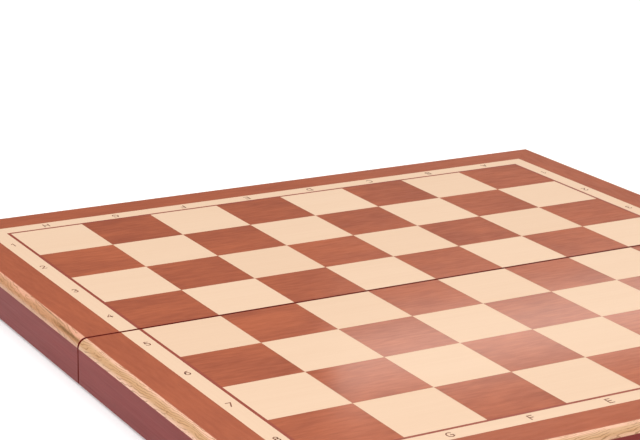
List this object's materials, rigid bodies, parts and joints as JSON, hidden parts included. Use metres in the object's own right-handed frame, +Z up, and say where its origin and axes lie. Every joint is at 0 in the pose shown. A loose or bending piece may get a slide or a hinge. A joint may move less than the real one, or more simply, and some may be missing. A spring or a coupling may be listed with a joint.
{
  "type": "folding chess board",
  "caption": "Folding wooden chess board whose halves are shallow trays: inlaid veneer squares with a notation border on top, felt-lined trays below, hinged at the rims and closed by hooks.",
  "frame": {"origin": "under the middle of the fold, level with the underside of the hinge knuckles", "axes": "+Z up out of the playing surface, X along the fold, +Y from the near half to the far half"},
  "size_m": [0.478, 0.4864, 0.0285],
  "materials": {
    "frame_wood": "satin",
    "plywood": "matte",
    "mahogany_veneer": "satin",
    "pale_veneer": "satin",
    "felt": "matte",
    "brass": "satin"
  },
  "bodies": {
    "far_half": {"far_dark_squares": "mahogany_veneer", "far_end_border_veneer": "mahogany_veneer", "far_end_notation_strip": "pale_veneer", "far_end_rail": "frame_wood", "far_end_stringing": "mahogany_veneer", "far_felt_lining": "felt", "far_fold_rail": "frame_wood", "far_hinge_screws": "brass", "far_left_border_veneer": "mahogany_veneer", "far_left_notation_strip": "pale_veneer", "far_left_rail": "frame_wood", "far_left_stringing": "mahogany_veneer", "far_light_squares": "pale_veneer", "far_panel_core": "plywood", "far_right_border_veneer": "mahogany_veneer", "far_right_notation_strip": "pale_veneer", "far_right_rail": "frame_wood", "far_right_stringing": "mahogany_veneer", "left_catch_screw": "brass", "left_hinge_far_leaf": "brass", "right_catch_screw": "brass", "right_hinge_far_leaf": "brass"},
    "near_half": {"left_hinge_near_leaf": "brass", "left_hinge_pin": "brass", "left_hook_screw": "brass", "left_hook_washer": "brass", "near_dark_squares": "mahogany_veneer", "near_end_border_veneer": "mahogany_veneer", "near_end_notation_strip": "pale_veneer", "near_end_rail": "frame_wood", "near_end_stringing": "mahogany_veneer", "near_felt_lining": "felt", "near_fold_rail": "frame_wood", "near_hinge_screws": "brass", "near_left_border_veneer": "mahogany_veneer", "near_left_notation_strip": "pale_veneer", "near_left_rail": "frame_wood", "near_left_stringing": "mahogany_veneer", "near_light_squares": "pale_veneer", "near_panel_core": "plywood", "near_right_border_veneer": "mahogany_veneer", "near_right_notation_strip": "pale_veneer", "near_right_rail": "frame_wood", "near_right_stringing": "mahogany_veneer", "right_hinge_near_leaf": "brass", "right_hinge_pin": "brass", "right_hook_screw": "brass", "right_hook_washer": "brass"},
    "left_hook": {"left_hook": "brass"},
    "right_hook": {"right_hook": "brass"}
  },
  "joints": [
    {"name": "fold", "type": "hinge", "parent": "near_half", "child": "far_half", "pos_m": [0, 0, 0.0013], "axis": [-1, 0, 0], "range_deg": [0, 180]},
    {"name": "left_hook_swing", "type": "hinge", "parent": "near_half", "child": "left_hook", "pos_m": [-0.11, -0.2396, 0.0105], "axis": [0, 1, 0], "range_deg": [-90, 90]},
    {"name": "right_hook_swing", "type": "hinge", "parent": "near_half", "child": "right_hook", "pos_m": [0.11, -0.2396, 0.0105], "axis": [0, 1, 0], "range_deg": [-90, 90]}
  ]
}
